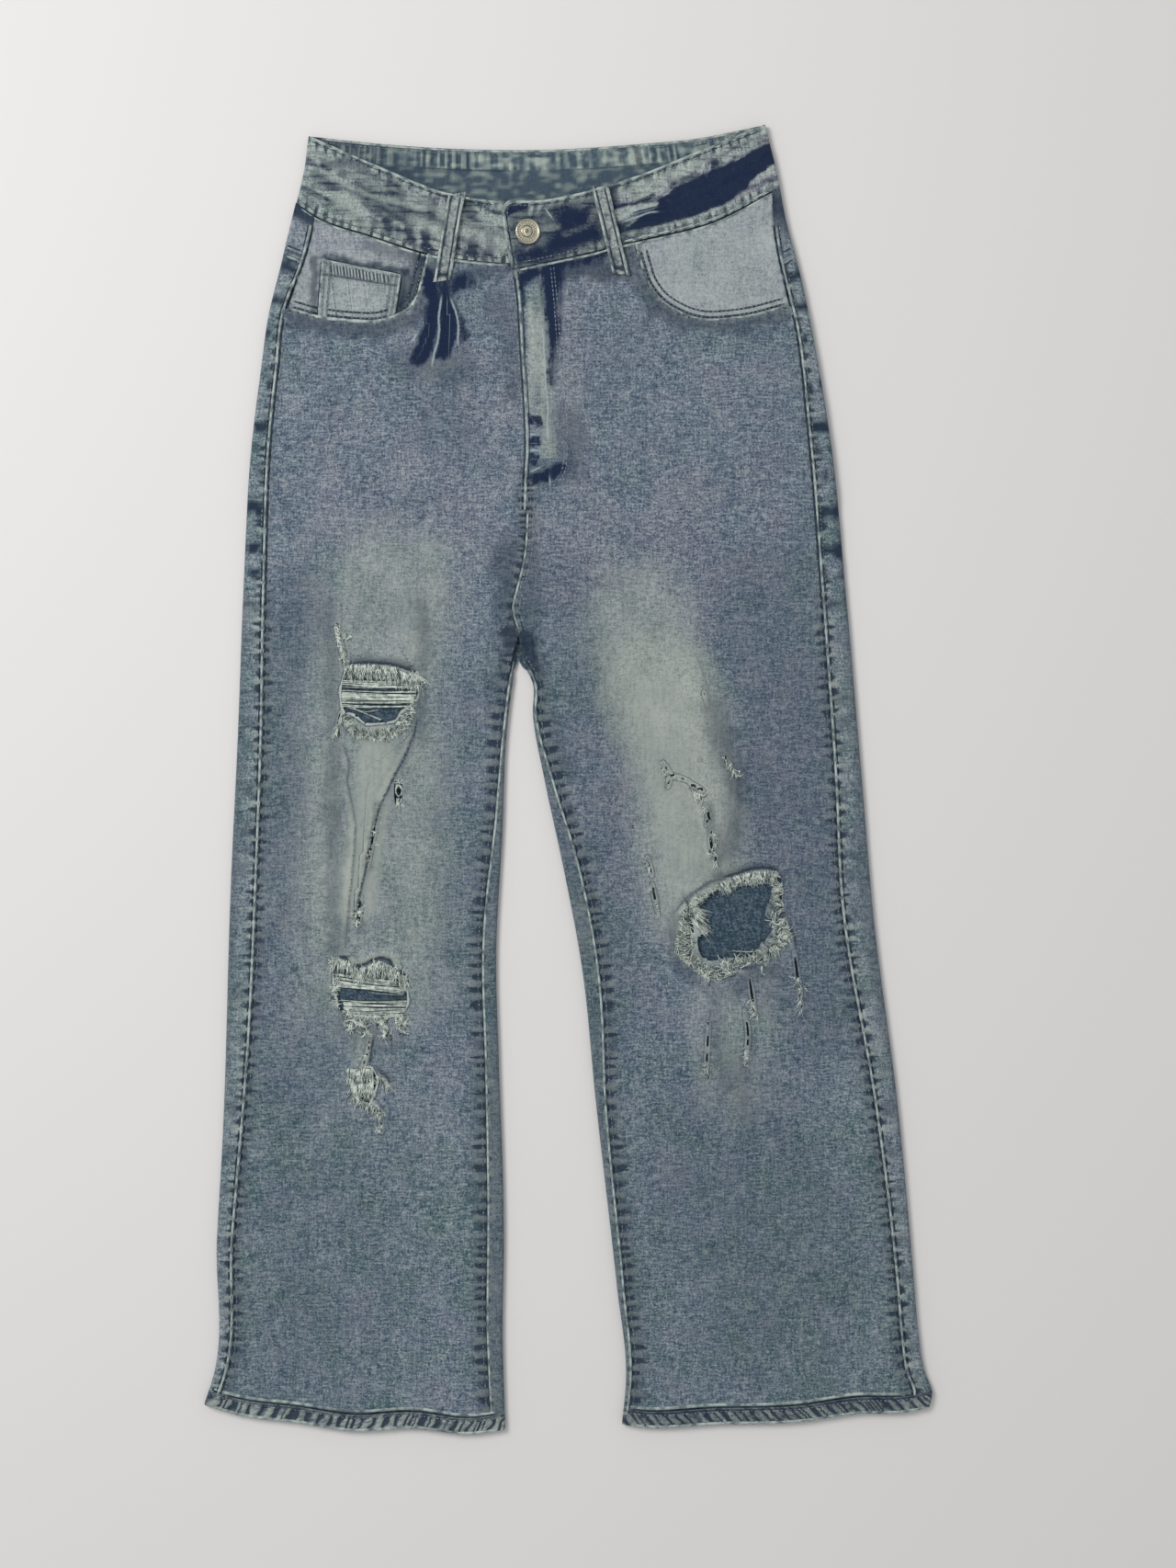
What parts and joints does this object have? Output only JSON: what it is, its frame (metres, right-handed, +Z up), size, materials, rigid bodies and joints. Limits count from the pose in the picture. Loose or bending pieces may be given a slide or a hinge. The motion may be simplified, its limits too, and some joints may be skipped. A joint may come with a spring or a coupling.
{
  "type": "ripped jeans",
  "caption": "Full-length denim jeans laid flat on their back, faded, with torn thighs and knees, a fly, button waistband, belt loops and pockets.",
  "frame": {"origin": "under the middle of the garment, on the surface it lies on", "axes": "+X towards the wearer's left, +Y along the legs towards the waistband, +Z up, out of the front of the garment"},
  "size_m": [0.5546, 0.9966, 0.0141],
  "materials": {
    "denim": "worn matt twill",
    "denim_seam": "worn matt twill with roped seams",
    "denim_pale": "bleached matt twill",
    "denim_inside": "dark matt twill",
    "zip_tape": "matt woven tape",
    "button_metal": "worn pale metal"
  },
  "bodies": {
    "root": {"front_leg_right": "denim", "front_leg_left": "denim", "back_leg_right": "denim", "back_leg_left": "denim", "yoke_right": "denim", "yoke_left": "denim", "hem_right": "denim_seam", "hem_left": "denim_seam", "waistband": "denim_seam", "pocket_facing_right": "denim_pale", "pocket_facing_left": "denim_pale", "coin_pocket": "denim", "fly_shield": "denim_inside", "zip": "zip_tape", "back_pocket_right": "denim", "back_pocket_left": "denim", "belt_loop_back_right": "denim_seam", "belt_loop_back_centre": "denim_seam", "belt_loop_back_left": "denim_seam", "belt_loop_front_right": "denim_seam", "belt_loop_front_left": "denim_seam", "button": "button_metal"}
  },
  "joints": []
}
